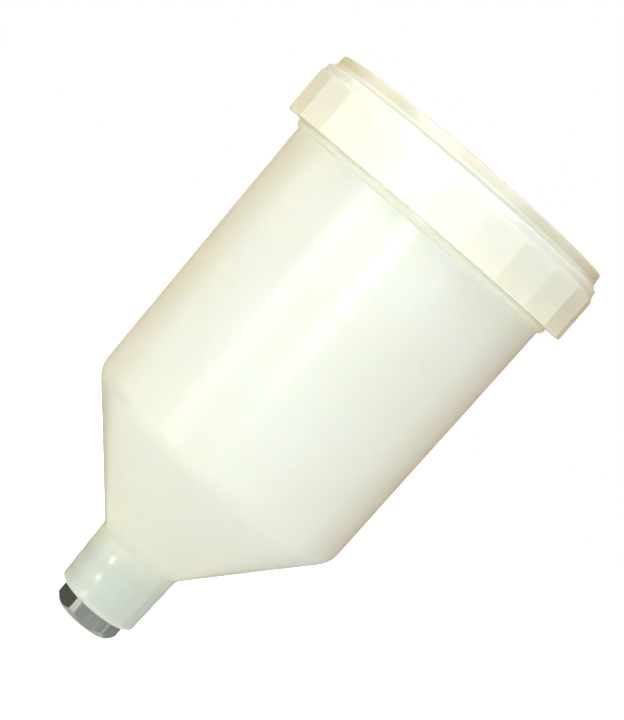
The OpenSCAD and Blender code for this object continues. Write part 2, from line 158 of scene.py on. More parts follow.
def milky_plastic(name, body, deep, roughness, zones, reach_mm=4.5):
    """Unpigmented moulded plastic: body is its colour, deep the warmer colour of its slow mottling.

    Each zone has its heights in mm, from none to all of it, its smallest radius, colour and roughness.
    """
    made, tree, shader, coords = start_material(name, {
        "IOR": 1.5, "Subsurface Weight": 1.0, "Subsurface Radius": (1.0, 0.82, 0.55),
        "Subsurface Scale": reach_mm * MM})
    mottle = add(tree, "ShaderNodeTexNoise", {"Vector": coords, "Scale": 1 / (mottle_mm * MM), "Detail": 2.0})
    depth = add(tree, "ShaderNodeMapRange", {"Value": mottle, "From Min": 0.22, "From Max": 0.85})
    tint = add(tree, "ShaderNodeMix", {0: depth, 6: colour(body), 7: colour(deep)}, data_type="RGBA")
    gloss = add(tree, "ShaderNodeMapRange", {"Value": mottle, "To Min": roughness - 0.03,
                                             "To Max": roughness + 0.03})
    height = add(tree, "ShaderNodeSeparateXYZ", (coords,)).outputs["Z"]
    radius = from_axis(tree, coords)
    # Each zone's colour is blended in here; some zones carry painted light or painted shade.
    for start, end, from_r, hex_value, zone_roughness in zones:
        level = add(tree, "ShaderNodeMapRange", {"Value": height, "From Min": start * MM,
                                                 "From Max": end * MM})
        outer = add(tree, "ShaderNodeMapRange", {"Value": radius, "From Min": (from_r - 1) * MM,
                                                 "From Max": from_r * MM})
        inside = add(tree, "ShaderNodeMath", (level, outer), operation="MULTIPLY")
        tint = add(tree, "ShaderNodeMix", {0: inside, 6: tint.outputs[2], 7: colour(hex_value)},
                   data_type="RGBA")
        gloss = add(tree, "ShaderNodeMix", {0: inside, 2: gloss, 3: zone_roughness})
    peel = add(tree, "ShaderNodeTexNoise", {"Vector": coords, "Scale": 1 / (peel_mm * MM), "Detail": 3.0})
    bump = add(tree, "ShaderNodeBump", {"Height": peel, "Strength": 0.06, "Distance": 0.05 * MM})
    set_inputs(tree, shader, {"Base Color": tint.outputs[2], "Roughness": gloss, "Normal": bump})
    return made


print("mottling", mottle_mm, "mm wide, orange peel", peel_mm, "mm")

# %% Milky plastic for the cup and the lid
cup_plastic = milky_plastic("moulded_nylon_milky", "#f0f1e6", "#ededda", 0.25, (
    (56, 38, 0, "#ebecd9", 0.25),  # the cone
    # painted shade: the neck is painted cooler and greyer for the metal shank inside it
    (30, 20, 0, "#d2dad1", 0.15),  # the neck
    # painted light: the ring is painted whiter, against the shade under the lid's skirt
    (145.8, 146.8, 0, "#fffbe2", 0.25),  # the ring below the lid
    (149.5, 151, 0, "#f0f1e6", 0.25)))  # the rest of the mouth, which the lid hides
lid_plastic = milky_plastic("moulded_polyethylene_milky", "#f2f0e0", "#f0ecd8", 0.26, (
    # painted light: the crease is painted lighter, against its own shade
    (165.2, 165.8, 45.5, "#fff5d6", 0.28),  # the crease above the shoulder
    # painted shade: the rim is painted a little dimmer than the skirt
    (166.6, 167.5, 45.5, "#d6d3c0", 0.28)))  # the rim
print("plastics:", cup_plastic.name, lid_plastic.name)

# %% [markdown]
# ## The connector's metal
#
# The connector is turned from cold-drawn hexagon bar, nickel-plated steel. Its flats keep the fine
# lines that the drawing die leaves along the bar, while the corners and the end are turned on a
# lathe and carry rings. The real grooves are a tenth of a millimetre apart. They are drawn three
# times as coarse, so that they show, as bump and as a change of tone and gloss, stretched along the
# bar or around it.

# %% Metal for the connector
line_mm, ring_mm, turned_edge_r = 0.35, 0.3, 10.25


def drawn_metal():
    """Bright drawn bar with lines along the flats and rings on what is turned."""
    made, tree, shader, coords = start_material("drawn_hexagon_steel", {"Metallic": 1.0})
    turned = add(tree, "ShaderNodeMapRange", {
        "Value": from_axis(tree, coords), "From Min": turned_edge_r * MM,
        "From Max": (turned_edge_r + 0.05) * MM})
    lines, rings = [
        add(tree, "ShaderNodeTexNoise", {"Detail": 4.0, "Scale": 1.0, "Vector": add(
            tree, "ShaderNodeMapping", {"Vector": coords, "Scale": waves_per_m})})
        for waves_per_m in ((1 / (line_mm * MM), 1 / (line_mm * MM), 30.0), (40.0, 40.0, 1 / (ring_mm * MM)))]
    marks = add(tree, "ShaderNodeMix", {0: turned, 2: lines, 3: rings})
    tone = add(tree, "ShaderNodeMapRange", {"Value": marks, "From Min": 0.25, "From Max": 0.7})
    tint = add(tree, "ShaderNodeMix", {0: tone, 6: colour("#93948f"), 7: colour("#a6a7a2")}, data_type="RGBA")
    gloss = add(tree, "ShaderNodeMapRange", {"Value": marks, "To Min": 0.24, "To Max": 0.36})
    bump = add(tree, "ShaderNodeBump", {"Height": marks, "Strength": 0.07, "Distance": 0.03 * MM})
    set_inputs(tree, shader, {"Base Color": tint.outputs[2], "Roughness": gloss, "Normal": bump})
    return made


connector_metal = drawn_metal()
print("metal:", connector_metal.name)

# %% [markdown]
# ## Gauze, foam, rubber and small plastics
#
# The small inner pieces are plain engineering plastics, foam and rubber. Each has its own colour and
# grain: the strainer's polypropylene is satin, the gauze is woven nylon thread with a slight sheen,
# the sealing ring is closed-cell foam with fine pores, and the valve disc is matt black rubber with a
# dusty bloom.

# %% Finishes of the small pieces
def grained(name, light, dark, roughness, grain_mm, depth_mm, sheen=0.0):
    """A finish whose colour drifts from light to dark and whose skin has grains of that size."""
    made, tree, shader, coords = start_material(name, {"Sheen Weight": sheen})
    waves_per_m = 1 / (grain_mm * MM)
    grain = add(tree, "ShaderNodeTexNoise", {"Vector": coords, "Scale": waves_per_m, "Detail": 4.0})
    drift = add(tree, "ShaderNodeTexNoise", {"Vector": coords, "Scale": waves_per_m / 12, "Detail": 2.0})
    tone = add(tree, "ShaderNodeMapRange", {"Value": drift, "From Min": 0.3, "From Max": 0.72})
    tint = add(tree, "ShaderNodeMix", {0: tone, 6: colour(light), 7: colour(dark)}, data_type="RGBA")
    gloss = add(tree, "ShaderNodeMapRange", {"Value": grain, "To Min": roughness - 0.06,
                                             "To Max": roughness + 0.06})
    bump = add(tree, "ShaderNodeBump", {"Height": grain, "Strength": 0.3, "Distance": depth_mm * MM})
    set_inputs(tree, shader, {"Base Color": tint.outputs[2], "Roughness": gloss, "Normal": bump})
    return made


strainer_plastic = grained("moulded_polypropylene_satin", "#ecece6", "#e2e1d8", 0.42, 0.5, 0.02)
gauze_thread = grained("woven_nylon_gauze", "#f2f1ea", "#dfddd2", 0.38, 0.2, 0.01, sheen=0.2)
washer_plastic = grained("turned_nylon_washer", "#e6e1d2", "#dad3bf", 0.4, 0.4, 0.02)
baffle_plastic = grained("moulded_polypropylene_lid_insert", "#e8e6d8", "#dedbc8", 0.4, 0.6, 0.02)
gasket_foam = grained("closed_cell_foam", "#cfcfc6", "#bdbdb2", 0.75, 0.25, 0.08)
valve_rubber = grained("nitrile_rubber_matt", "#2a2a29", "#3a3a38", 0.7, 0.15, 0.02)
cap_plastic = grained("moulded_acetal_gloss", "#f0efe0", "#e6e3cf", 0.24, 0.7, 0.01)
print("small finishes:", [made.name for made in (
    strainer_plastic, gauze_thread, washer_plastic, baffle_plastic, gasket_foam, valve_rubber, cap_plastic)])

# %% [markdown]
# ## Turned shapes
#
# Nearly every piece here is round about one axis, so one helper turns an outline into a closed mesh,
# as a lathe does. Blender's Screw modifier could do it too, but a rule that may shift the radius with
# the angle lets the same helper cut grip flats, hexagon corners and knurls, and keeps the seam and
# the poles closed. Corners are written as points with a rounding radius, the way a draughtsman
# dimensions them.


# %% Outline helpers
def rounded(corners, step_deg=9):
    """Points of a closed outline in (r, z), each corner (r, z, radius) rounded by its radius."""
    out = []
    for i, (r, z, radius) in enumerate(corners):
        before, here = Vector(corners[i - 1][:2]), Vector((r, z))
        after = Vector(corners[(i + 1) % len(corners)][:2])
        if radius <= 0:
            out.append(here)
            continue
        u, w = (before - here).normalized(), (after - here).normalized()
        half = u.angle(w) / 2
        reach = min(radius / math.tan(half), 0.48 * (before - here).length, 0.48 * (after - here).length)
        fillet = reach * math.tan(half)
        centre = here + (u + w).normalized() * fillet / math.sin(half)
        start, end = here + u * reach - centre, here + w * reach - centre
        first = math.atan2(start.y, start.x)
        sweep = (math.atan2(end.y, end.x) - first + math.pi) % (2 * math.pi) - math.pi
        steps = max(2, math.ceil(abs(math.degrees(sweep)) / step_deg))
        bearings = [first + sweep * k / steps for k in range(steps + 1)]
        out += [centre + fillet * Vector((math.cos(a), math.sin(a))) for a in bearings]
    return out


def finer(points, longest):
    """The same closed outline with no stretch longer than that length, or that function of the place."""
    out = []
    for here, after in zip(points, points[1:] + points[:1]):
        limit = longest((here + after) / 2) if callable(longest) else longest
        steps = max(1, math.ceil((after - here).length / limit))
        out += [here.lerp(after, k / steps) for k in range(steps)]
    return out


print("a quarter of a rounded corner has",
      len(rounded([(0, 0, 0), (9, 0, 2), (9, 9, 0), (0, 9, 0)])) - 3, "points")

# %% The lathe
def new_object(name, mesh):
    """The bmesh as an object in the scene."""
    data = bpy.data.meshes.new(name)
    mesh.to_mesh(data)
    mesh.free()
    made = bpy.data.objects.new(name, data)
    scene.collection.objects.link(made)
    return made


def even_angles(count):
    """That many directions at equal steps round the axis, in radians."""
    return [2 * math.pi * k / count for k in range(count)]


def turn(name, outline, angles, rule=None):
    """A closed mesh object: the outline turned through the angles, where rule(r, z, angle) moves points."""
    mesh = bmesh.new()
    rows = []
    for r, z in outline:
        places = [rule(r, z, a) if rule else (r, z) for a in angles]
        rows.append([mesh.verts.new(Vector((q * math.cos(a), q * math.sin(a), h)) * MM)
                     for (q, h), a in zip(places, angles)])
    for i, row in enumerate(rows):
        above = rows[(i + 1) % len(rows)]
        if outline[i][0] == 0 and outline[(i + 1) % len(rows)][0] == 0:
            continue
        for j in range(len(angles)):
            k = (j + 1) % len(angles)
            mesh.faces.new((row[j], row[k], above[k], above[j]))
    bmesh.ops.remove_doubles(mesh, verts=mesh.verts, dist=0.002 * MM)
    bmesh.ops.recalc_face_normals(mesh, faces=mesh.faces)
    return new_object(name, mesh)


print("columns of a piece with 288 sides are", math.degrees(even_angles(288)[1]), "degrees apart")

# %% [markdown]
# ## Cutting, joining and dressing
#
# Holes are cut and ridges fused with Boolean modifiers, in the solver for closed meshes. A modifier
# is worked out into a plain mesh straight away, so that no piece carries one to the end. Then each
# piece is dressed with its material, its shading and the body that it moves with, and the solid it
# stands for is hidden.

# %% Cut, join and dress
def baked(piece):
    """The piece with its modifiers worked out into a plain mesh."""
    view = bpy.context.evaluated_depsgraph_get()
    data = bpy.data.meshes.new_from_object(piece.evaluated_get(view))
    piece.modifiers.clear()
    piece.data = data
    return piece


def combine(piece, tool, operation):
    """Joins the tool to the piece, or cuts it out, and takes the tool away."""
    cut = piece.modifiers.new("cut", "BOOLEAN")
    cut.operation = operation
    cut.solver = "MANIFOLD"
    cut.object = tool
    baked(piece)
    bpy.data.objects.remove(tool)
    return piece


def dress(piece, material, body, node, sharp_deg=32):
    """Gives a finished piece its material, shading and body, and hides the CAD node that it stands for."""
    piece.data.materials.clear()
    piece.data.materials.append(material)
    piece.data.shade_smooth()
    piece.data.set_sharp_from_angle(angle=math.radians(sharp_deg))
    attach(piece, body)
    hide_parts(node)
    z = [v.co.z / MM for v in piece.data.vertices]
    print(f"{piece.name}: {len(piece.data.polygons)} faces, from {min(z):.2f} to {max(z):.2f} mm high")
    return piece


# %% [markdown]
# ## A helical ridge with Geometry Nodes
#
# Both screw threads of the lid, and the gun's thread in the connector, are one ridge that follows a
# helix. Geometry Nodes make it from a spiral and a trapezoid: the ridge fades in and out at its ends,
# as the moulder's tool leaves it. Its sizes are inputs of the tree, so the same tree makes all three.


# %% Start and end of a geometry tree
def start_tree(name, floats, whole_numbers=()):
    """A geometry tree with these inputs, a material and one output, and the sockets of its inputs."""
    tree = bpy.data.node_groups.new(name, "GeometryNodeTree")
    kinds = [(label, "Float") for label in floats] + [(label, "Int") for label in whole_numbers]
    for label, kind in kinds + [("Material", "Material")]:
        tree.interface.new_socket(label, in_out="INPUT", socket_type="NodeSocket" + kind)
    tree.interface.new_socket("Geometry", in_out="OUTPUT", socket_type="NodeSocketGeometry")
    return tree, add(tree, "NodeGroupInput").outputs


def end_tree(tree, geometry, material):
    """Real geometry with its material, because an export drops instances."""
    real = add(tree, "GeometryNodeRealizeInstances", (geometry,))
    painted = add(tree, "GeometryNodeSetMaterial", {"Geometry": real, "Material": material})
    add(tree, "NodeGroupOutput", (painted,))
    return tree


def tree_inputs(tree):
    """The identifier of each of the tree's inputs, by its name."""
    inputs = [socket for socket in tree.interface.items_tree if socket.in_out == "INPUT"]
    return {socket.name.replace(" ", "_").lower(): socket.identifier for socket in inputs}


def from_tree(name, tree, **values):
    """A plain mesh object made by the tree with these inputs."""
    made = bpy.data.objects.new(name, bpy.data.meshes.new(name))
    scene.collection.objects.link(made)
    grow = made.modifiers.new("grow", "NODES")
    grow.node_group = tree
    for key, value in values.items():
        grow[tree_inputs(tree)[key]] = value
    return baked(made)


def shifted(piece, rise_mm, turn_rad=0.0):
    """The piece with its mesh raised and turned about the axis."""
    piece.data.transform(Matrix.Translation((0, 0, rise_mm * MM)) @ Matrix.Rotation(turn_rad, 4, "Z"))
    return piece


print("geometry trees so far:", len(bpy.data.node_groups))

# %% Helical ridge tree
def ridge_tree():
    """A trapezoid ridge along a right-handed helix; Side is 1 outside a wall and -1 inside one."""
    tree, given = start_tree("helical_ridge", (
        "Radius", "Side", "Pitch", "Turns", "Root Width", "Crest Width", "Depth", "Sink", "Fade Turns"))
    rise = add(tree, "ShaderNodeMath", (given["Pitch"], given["Turns"]), operation="MULTIPLY")
    spiral = add(tree, "GeometryNodeCurveSpiral", {
        "Resolution": 96, "Rotations": given["Turns"], "Height": rise, "Start Radius": given["Radius"],
        "End Radius": given["Radius"], "Reverse": True})
    upright = add(tree, "GeometryNodeSetCurveNormal", {"Curve": spiral}, mode="Z_UP")

    section = add(tree, "GeometryNodeCurvePrimitiveQuadrilateral",
                  {"Height": given["Depth"], "Bottom Width": given["Root Width"],
                   "Top Width": given["Crest Width"], "Offset": 0.0}, mode="TRAPEZOID")
    quarter = add(tree, "ShaderNodeMath", (given["Side"], -math.pi / 2), operation="MULTIPLY")
    half_depth = add(tree, "ShaderNodeMath", (given["Depth"], 0.5), operation="MULTIPLY")
    above = add(tree, "ShaderNodeMath", (half_depth, given["Sink"]), operation="SUBTRACT")
    out = add(tree, "ShaderNodeMath", (above, given["Side"]), operation="MULTIPLY")
    section = add(tree, "GeometryNodeTransform", {
        "Geometry": section, "Rotation": add(tree, "ShaderNodeCombineXYZ", {"Z": quarter}),
        "Translation": add(tree, "ShaderNodeCombineXYZ", {"X": out})})

    along = add(tree, "GeometryNodeSplineParameter").outputs["Factor"]
    left = add(tree, "ShaderNodeMath", (1.0, along), operation="SUBTRACT")
    to_end = add(tree, "ShaderNodeMath", (along, left), operation="MINIMUM")
    turns_to_end = add(tree, "ShaderNodeMath", (to_end, given["Turns"]), operation="MULTIPLY")
    fade = add(tree, "ShaderNodeMath", (turns_to_end, given["Fade Turns"]), operation="DIVIDE")
    fade = add(tree, "ShaderNodeMath", (fade, 0.08), operation="ADD")
    scale = add(tree, "ShaderNodeMath", (fade, 1.0), operation="MINIMUM")
    ridge = add(tree, "GeometryNodeCurveToMesh", {"Curve": upright, "Profile Curve": section, "Scale": scale,
                                                  "Fill Caps": True})
    return end_tree(tree, ridge, given["Material"])


helical_ridge = ridge_tree()
print("ridge inputs:", ", ".join(tree_inputs(helical_ridge)))

# %% [markdown]
# ## The cup
#
# The cup is one moulding: neck, cone, barrel and mouth, with the lid's thread on the mouth. It is
# turned from its real section. The barrel leans out by a hair, which lets it leave the mould, and the
# ring below the lid starts with a small step, where two parts of the mould meet. Plastic shrinks most
# where it is thick, so the neck has shallow sink marks over the knurled bands of the metal shank, and
# each catches its own small highlight. The thread is a ridge fused on, so that the two share one skin.

# %% Sizes of the cup
collar_h, neck_r0, neck_r1, neck_z1 = 5.8, 12.7, 13.5, 25.8
core_r, knurl_r, knurl_depth, knurl_teeth, insert_top_z = 9.6, 10.4, 0.4, 36, 17.4
band_h = (insert_top_z - collar_h) / 3
knurl_bands = ((collar_h + band_h / 4, collar_h + band_h * 1.25),
               (insert_top_z - band_h * 1.25, insert_top_z - band_h / 4))
neck_bore_r, cup_wall, cone_deg = 9.75, 2.4, 41.3
barrel_r0, barrel_r1 = 43.1, 44.2
shoulder_z = neck_z1 + (barrel_r0 - neck_r1) / math.tan(math.radians(cone_deg))
ring_z = shoulder_z + 87.2
mouth_r, mouth_bore_r, mouth_z = 45.45, 42.4, ring_z + 17.3
thread_pitch, thread_high, thread_root, thread_crest = 5.0, 1.6, 2.4, 1.0
cup_turns, cup_thread_z = 1.4, ring_z + 7.0


def cone_inside_z(r):
    """Height at which the inside of the cone has that radius."""
    slope = math.radians(cone_deg)
    return neck_z1 + (r - neck_r1 + cup_wall / math.cos(slope)) / math.tan(slope)


print(f"shoulder at {shoulder_z:.3f}, ring at {ring_z:.3f}, mouth at {mouth_z:.3f} mm")

# %% Turn the cup
(low_a, high_a), (low_b, high_b) = knurl_bands
cup_section = rounded([
    (neck_r0, collar_h, 2.2), (neck_r1, neck_z1, 3.2), (barrel_r0, shoulder_z, 8.0),
    (barrel_r1, ring_z - 0.3, 0.3), (mouth_r - 0.4, ring_z + 0.4, 0.4), (mouth_r, ring_z + 1.3, 0.4),
    (mouth_r, mouth_z, 0.5), (mouth_bore_r, mouth_z, 0.5), (barrel_r1 - cup_wall, ring_z - 4, 6.0),
    (barrel_r0 - cup_wall, cone_inside_z(barrel_r0 - cup_wall), 8.0 - cup_wall),
    (neck_bore_r, cone_inside_z(neck_bore_r), 1.0), (neck_bore_r, insert_top_z, 0), (core_r, insert_top_z, 0),
    (core_r, high_b, 0), (knurl_r, high_b, 0), (knurl_r, low_b, 0), (core_r, low_b, 0),
    (core_r, high_a, 0), (knurl_r, high_a, 0), (knurl_r, low_a, 0), (core_r, low_a, 0),
    (core_r, collar_h, 0)])
sink_depth, sink_z, sink_pitch, sink_top_z, neck_skin_r = 0.06, 8.2, 6.3, 24.5, 12.3


def cup_rule(r, z, angle):
    """Shallow sink marks around the neck, fading out at its top and left off inside it."""
    fade = max(0.0, min(1.0, (r - neck_skin_r) / 0.35, (sink_top_z - z) / 1.5))
    return r - sink_depth * fade * math.sin(2 * math.pi * (z - sink_z) / sink_pitch), z


def neck_rows(place):
    """Rows half a millimetre apart on the neck's skin, where the sink marks are, and 6 mm elsewhere."""
    return 0.5 if place.x > 12 and place.y < neck_z1 else 6.0


cup = turn("cup_shell", finer(cup_section, neck_rows), even_angles(288), cup_rule)
print(f"cup turned with {len(cup.data.polygons)} faces")


# %% Fuse the cup's thread
def thread_ridge(name, wall_r, side, turns):
    """The lid's thread as a helical ridge that stands off a wall and is sunk a little into it."""
    sink = 0.35
    flank = (thread_root - thread_crest) / (2 * thread_high)
    made = from_tree(name, helical_ridge, radius=wall_r * MM, side=side, pitch=thread_pitch * MM, turns=turns,
                     root_width=(thread_root + 2 * sink * flank) * MM, crest_width=thread_crest * MM,
                     depth=(thread_high + sink) * MM, sink=sink * MM, fade_turns=0.08, material=cup_plastic)
    radii = [v.co.xy.length / MM for v in made.data.vertices]
    print(f"{name}: from {min(radii):.2f} to {max(radii):.2f} mm out, {len(made.data.polygons)} faces")
    return made


ridge = thread_ridge("cup_thread", mouth_r, 1.0, cup_turns)
shifted(ridge, cup_thread_z, -math.pi / 2)
combine(cup, ridge, "UNION")
dress(cup, cup_plastic, "cup", "cup_body")

# %% [markdown]
# ## The lid
#
# The lid is a 24-sided cap, so that a gloved hand can grip it. Where its flats run into the round
# shoulder they end in shallow curves. A rule does that: each point takes the smaller of the flat's
# radius and the shoulder's, eased where the two meet. The columns of the mesh lie on the edges
# between the flats and on each side of them, so the edges are narrow rounded bands that catch a line
# of light, as on the real one.

# %% Sizes of the lid
lid_flats, flats_turn_deg, edge_round_deg = 24, 13.0, 0.5
skirt_z, lid_bore_r, lid_r = ring_z + 2.2, 47.45, 50.25
plate_z, plate_top_z = mouth_z + 1.85, mouth_z + 4.35
rim_z, lid_shoulder_z = plate_top_z + 1.6, plate_z - 0.4
flats_top_z, shoulder_r, tier_r = lid_shoulder_z - 3.4, lid_r - 0.9, lid_r - 2.8
vent_r, seat_r, seat_z = 1.25, 2.65, plate_z - 1.5
disc_z = seat_z - 3.3
chamber_r, chamber_out_r, chamber_z = 12.0, 14.0, disc_z - 2.02
cap_z, cap_top_z, cap_r = plate_top_z + 0.02, rim_z + 2.7, 5.1
spigot_r, spigot_top_z = 3.4, cap_top_z - 1.5
spigot_h, bead_z = spigot_top_z - plate_top_z, mouth_z - 0.9
port_r, port_z, snap_z = 0.6, plate_top_z + spigot_h * 0.34, plate_top_z + spigot_h * 0.76
flat_apothem = lid_r * math.cos(math.pi / lid_flats)


def facet_r(angle):
    """Radius of the rounded 24-sided prism at that angle."""
    step = 2 * math.pi / lid_flats
    off = (angle - math.radians(flats_turn_deg) + step / 2) % step - step / 2
    band = math.radians(edge_round_deg)
    if abs(off) >= band:
        return flat_apothem / math.cos(step / 2 - abs(off))
    edge = flat_apothem / math.cos(step / 2 - band)
    slope = edge * math.tan(step / 2 - band)
    return edge + slope * (band * band - off * off) / (2 * band)


def lid_rule(r, z, angle):
    """The flats as the lid's skirt, easing into the round shoulder."""
    if r < lid_bore_r + 0.7 or z > lid_shoulder_z:
        return r, z
    if z < flats_top_z - 2:
        return facet_r(angle) - max(0.0, lid_r - r), z
    ease, flat = 0.06, facet_r(angle)
    return min(r, flat) - ease * math.log1p(math.exp(-abs(r - flat) / ease)), z


def lid_angles():
    """Columns on each edge between flats, beside it, and across each flat."""
    step, beside, columns = 360 / lid_flats, 0.3, 8
    flat = step - 2 * edge_round_deg - 2 * beside
    offsets = [-edge_round_deg, -edge_round_deg / 2, 0, edge_round_deg / 2, edge_round_deg]
    offsets += [edge_round_deg + beside + flat * k / columns for k in range(columns + 1)]
    return [math.radians(flats_turn_deg + step * i + off) for i in range(lid_flats) for off in offsets]


print(f"flats {flat_apothem * 2:.2f} mm across, edges {lid_r * 2:.1f} mm across")

# %% Turn the lid and fuse its thread
lid_section = rounded([
    (lid_bore_r, skirt_z, 0.4), (lid_r, skirt_z, 0.5), (lid_r + 0.45, flats_top_z - 0.5, 0),
    (shoulder_r, flats_top_z + 1.7, 2.0), (shoulder_r - 0.2, lid_shoulder_z, 0.35),
    (tier_r, lid_shoulder_z + 1.1, 2.4), (tier_r - 0.2, rim_z, 0.5), (tier_r - 3.6, rim_z, 0.4),
    (tier_r - 3.8, plate_top_z, 0.6), (spigot_r, plate_top_z, 0.15), (spigot_r, snap_z - 0.5, 0),
    (spigot_r + 0.25, snap_z, 0.2), (spigot_r, snap_z + 0.5, 0), (spigot_r, spigot_top_z, 0.1),
    (0, spigot_top_z, 0), (0, port_z + port_r, 0), (vent_r, port_z + port_r, 0), (vent_r, seat_z, 0),
    (seat_r, seat_z, 0.3), (seat_r, plate_z, 0), (chamber_r, plate_z, 0), (chamber_r, chamber_z, 0.2),
    (chamber_out_r, chamber_z, 0.4), (chamber_out_r, plate_z, 0), (lid_bore_r, plate_z, 0.2),
    (lid_bore_r, bead_z + 0.6, 0), (lid_bore_r - 0.6, bead_z, 0.2), (lid_bore_r, bead_z - 0.6, 0)])


def shoulder_rows(place):
    """Fine rows where the flats run into the shoulder, and 3 mm elsewhere."""
    return 0.15 if place.x > 48.5 and place.y > flats_top_z - 1 else 3.0


lid = turn("lid_shell", finer(lid_section, shoulder_rows), lid_angles(), lid_rule)
lead_turns, ridge_gap, lid_turns = 0.15, 1.775, 1.25  # the lid's ridge starts that much earlier and lower
ridge = thread_ridge("lid_thread", lid_bore_r, -1.0, lid_turns)
shifted(ridge, cup_thread_z - ridge_gap - lead_turns * thread_pitch, -math.pi / 2 - 2 * math.pi * lead_turns)
combine(lid, ridge, "UNION")


# %% Drill the vent port
def drill(name, radius, length, sides=32):
    """A round cutter along +X from the axis."""
    mesh = bmesh.new()
    bmesh.ops.create_cone(mesh, cap_ends=True, segments=sides, radius1=radius * MM, radius2=radius * MM,
                          depth=length * MM)
    bmesh.ops.rotate(mesh, verts=mesh.verts, matrix=Matrix.Rotation(math.pi / 2, 3, "Y"))
    bmesh.ops.translate(mesh, verts=mesh.verts, vec=(length / 2 * MM, 0, 0))
    return new_object(name, mesh)


combine(lid, shifted(drill("vent_port", port_r, 6.0), port_z), "DIFFERENCE")
dress(lid, lid_plastic, "screw_lid", "lid")

# %% [markdown]
# ## The metal connector
#
# This is a piece of hexagon bar whose corners are turned down, with a thread for the gun inside and
# two knurled bands that lock it into the plastic. Again one rule shapes it from a turned section: in
# the collar the radius is the smaller of the flat and the turned corner, and the chamfer at the end
# meets each flat in the curve known from every nut. Rows and columns close to each edge hold the
# smooth shading flat up to there. Without them the flats would shine like pillows.

# %% Turn the connector
hex_r, turned_r, hex_turn_deg, chamfer_r, chamfer_z, hold = 9.5, 10.45, 8.0, 9.05, 1.6, 0.3
gun_bore_r, outlet_r, pocket_r, pocket_z, pocket_top_z = 7.2, 6.0, 8.2, 11.0, 13.0
chamfer_rise = math.tan(math.radians(50))
corner_half_deg = 30 - math.degrees(math.acos(hex_r / turned_r))


def connector_rule(r, z, angle):
    """Flats and turned corners in the collar, teeth in the knurled bands."""
    if r > turned_r - 0.01 and z < collar_h + 0.01:
        off = (angle - math.radians(hex_turn_deg)) % (math.pi / 3) - math.pi / 6
        q = min(turned_r, hex_r / math.cos(off))
        if z > collar_h / 2:
            return q, z
        return q, (q - chamfer_r) * chamfer_rise + z - chamfer_z
    if abs(r - knurl_r) < 0.01:
        return r - knurl_depth * abs((angle * knurl_teeth / math.pi) % 2 - 1), z
    return r, z


flat_deg = 60 - 2 * corner_half_deg
offsets = [-corner_half_deg, -corner_half_deg / 3, corner_half_deg / 3, corner_half_deg]
offsets += [corner_half_deg + flat_deg * k for k in (0.03, 0.1, 0.2, 0.3, 0.4, 0.5, 0.6, 0.7, 0.8, 0.9, 0.97)]
hex_angles = [math.radians(hex_turn_deg + 60 * i + off) for i in range(6) for off in offsets]
connector_section = [Vector(p) for p in (
    (gun_bore_r, 0.9), (gun_bore_r + 0.9, 0), (chamfer_r, 0), (turned_r, chamfer_z),
    (turned_r, chamfer_z + hold), (turned_r, collar_h - hold), (turned_r, collar_h), (core_r, collar_h),
    (core_r, low_a), (knurl_r, low_a), (knurl_r, high_a), (core_r, high_a), (core_r, low_b), (knurl_r, low_b),
    (knurl_r, high_b), (core_r, high_b), (core_r, insert_top_z), (outlet_r + 0.4, insert_top_z),
    (outlet_r, insert_top_z - 0.4), (outlet_r, pocket_top_z), (pocket_r, pocket_top_z), (pocket_r, pocket_z),
    (gun_bore_r, pocket_z))]
connector = turn("connector", connector_section, hex_angles, connector_rule)
soften = connector.modifiers.new("fine_edges", "BEVEL")
soften.width, soften.segments, soften.angle_limit = 0.12 * MM, 2, math.radians(20)
baked(connector)
print(f"connector turned with {len(connector.data.polygons)} faces")

# %% Cut the gun's thread
groove = from_tree("gun_thread", helical_ridge, radius=gun_bore_r * MM, side=1.0, pitch=1.5 * MM, turns=7.4,
                   root_width=1.62 * MM, crest_width=0.25 * MM, depth=1.0 * MM, sink=0.25 * MM,
                   fade_turns=0.3, material=connector_metal)
combine(connector, shifted(groove, -0.2), "DIFFERENCE")
dress(connector, connector_metal, "cup", "hex_insert", 24)

# %% [markdown]
# ## Washer, sealing ring, valve disc and baffle
#
# These are the small turned and moulded pieces that the lid and the connector hide. The baffle holds
# the valve disc in its chamber: three ribs carry the disc and six holes drain the drips back.

# %% Small round pieces
washer = turn("seat_ring", rounded([(5.5, 11.3, 0.2), (8.1, 11.3, 0.3), (8.1, 13.0, 0.3), (5.5, 13.0, 0.2)]),
              even_angles(120))
dress(washer, washer_plastic, "cup", "seat_washer")
seal_r0, seal_r1, seal_z0, seal_z1 = 41.9, 46.9, mouth_z + 0.05, mouth_z + 1.8
seal = turn("seal_ring", rounded([(seal_r0, seal_z0, 0.25), (seal_r1, seal_z0, 0.25),
                                  (seal_r1, seal_z1, 0.25), (seal_r0, seal_z1, 0.25)]), even_angles(240))
dress(seal, gasket_foam, "seal_ring", "lid_gasket")
disc_r, disc_top_z = 10.6, disc_z + 0.8
disc = turn("valve_flap", rounded([(0, disc_z, 0), (disc_r, disc_z, 0.25), (disc_r, disc_top_z, 0.25),
                                   (0, disc_top_z, 0)]), even_angles(144))
dress(disc, valve_rubber, "check_valve", "valve_disc")


# %% Mould the baffle
def block(low, high, round_mm=0.0):
    """A box between two corners in mm, with its edges rounded."""
    mesh = bmesh.new()
    bmesh.ops.create_cube(mesh, size=1.0)
    for v in mesh.verts:
        v.co = Vector([(a + b) / 2 + c * (b - a) for a, b, c in zip(low, high, v.co)]) * MM
    if round_mm:
        bmesh.ops.bevel(mesh, geom=mesh.edges, offset=round_mm * MM, segments=3, profile=0.5, affect="EDGES")
    return new_object("block", mesh)


